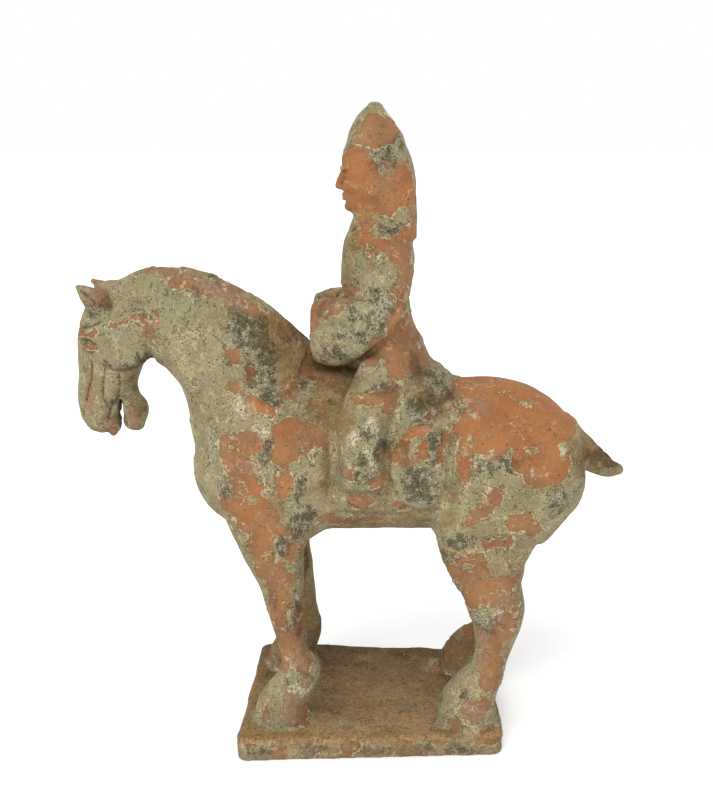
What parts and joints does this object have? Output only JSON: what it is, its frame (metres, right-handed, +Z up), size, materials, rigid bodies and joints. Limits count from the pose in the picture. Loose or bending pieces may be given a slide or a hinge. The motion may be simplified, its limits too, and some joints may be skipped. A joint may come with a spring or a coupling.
{
  "type": "horse and rider figure",
  "caption": "Moulded terracotta figure of a standing horse with bowed head and a hooded rider in a long-sleeved robe, on a rectangular slab; worn paint and soil crust.",
  "frame": {"origin": "centre of the slab's flat underside, below the rider's hood", "axes": "+Z up, +X towards the horse's tail, +Y towards the horse's right side"},
  "size_m": [0.3137, 0.1184, 0.3599],
  "materials": {
    "painted_clay": "unglazed orange-red fired clay with worn slip, grey-green soil crust and cream edges"
  },
  "bodies": {
    "root": {"horse_and_rider": "painted_clay"}
  },
  "joints": []
}
